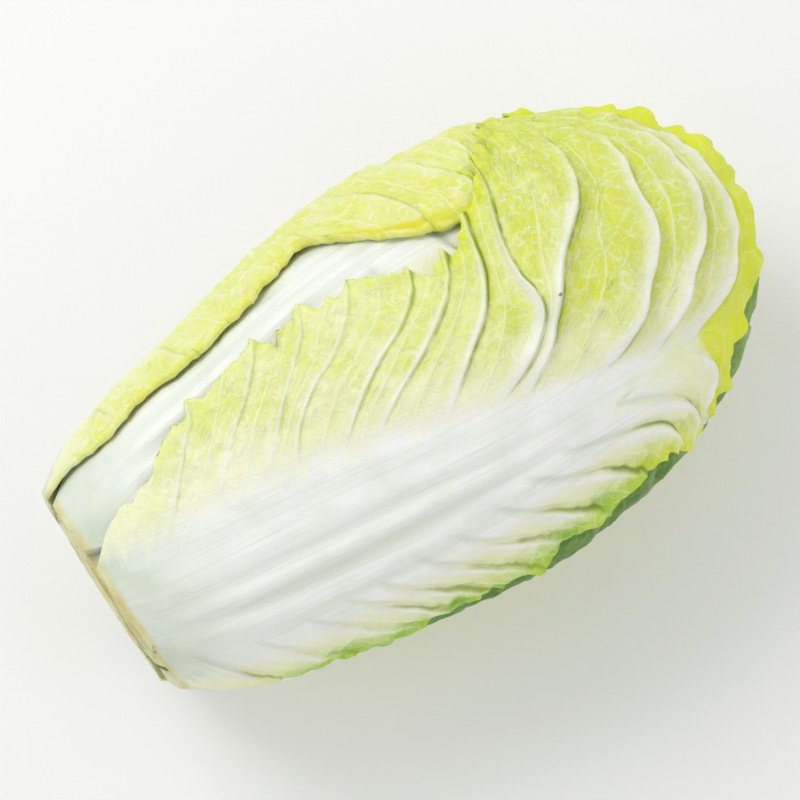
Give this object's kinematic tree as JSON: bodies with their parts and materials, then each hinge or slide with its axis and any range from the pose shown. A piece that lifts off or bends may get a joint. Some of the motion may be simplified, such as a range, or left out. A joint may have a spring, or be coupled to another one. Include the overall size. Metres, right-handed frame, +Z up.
{
  "type": "napa cabbage",
  "caption": "Long oval head of napa cabbage on its side: broad white ribbed midribs and pleated, frilled leaves wrapped round a dense heart, with a cut stem at one end.",
  "frame": {"origin": "middle of the bounding box's bottom face, on the surface that the head rests on", "axes": "+X along the head from the cut base to the leafy tip, +Z up, +Y to the side of the curled second leaf"},
  "size_m": [0.278, 0.1656, 0.1539],
  "materials": {
    "outer_leaf": "waxy leaf, white at the rib and yellow-green at the margin",
    "pale_leaf": "waxy pale leaf, white at the rib and yellow at the margin",
    "inner_leaf": "waxy blanched leaf, pale yellow",
    "stem": "cut stem, dry and tan on the cut face"
  },
  "bodies": {
    "root": {"leaf_01_front": "outer_leaf", "leaf_02_back": "pale_leaf", "leaf_03_underside": "outer_leaf", "leaf_04_shaded": "outer_leaf", "leaf_05_stalk": "pale_leaf", "leaf_06_wrapped": "pale_leaf", "leaf_07_wrapped": "pale_leaf", "leaf_08_wrapped": "pale_leaf", "leaf_09_wrapped": "inner_leaf", "leaf_10_wrapped": "inner_leaf", "leaf_11_wrapped": "inner_leaf", "heart": "inner_leaf", "stem": "stem"}
  },
  "joints": []
}
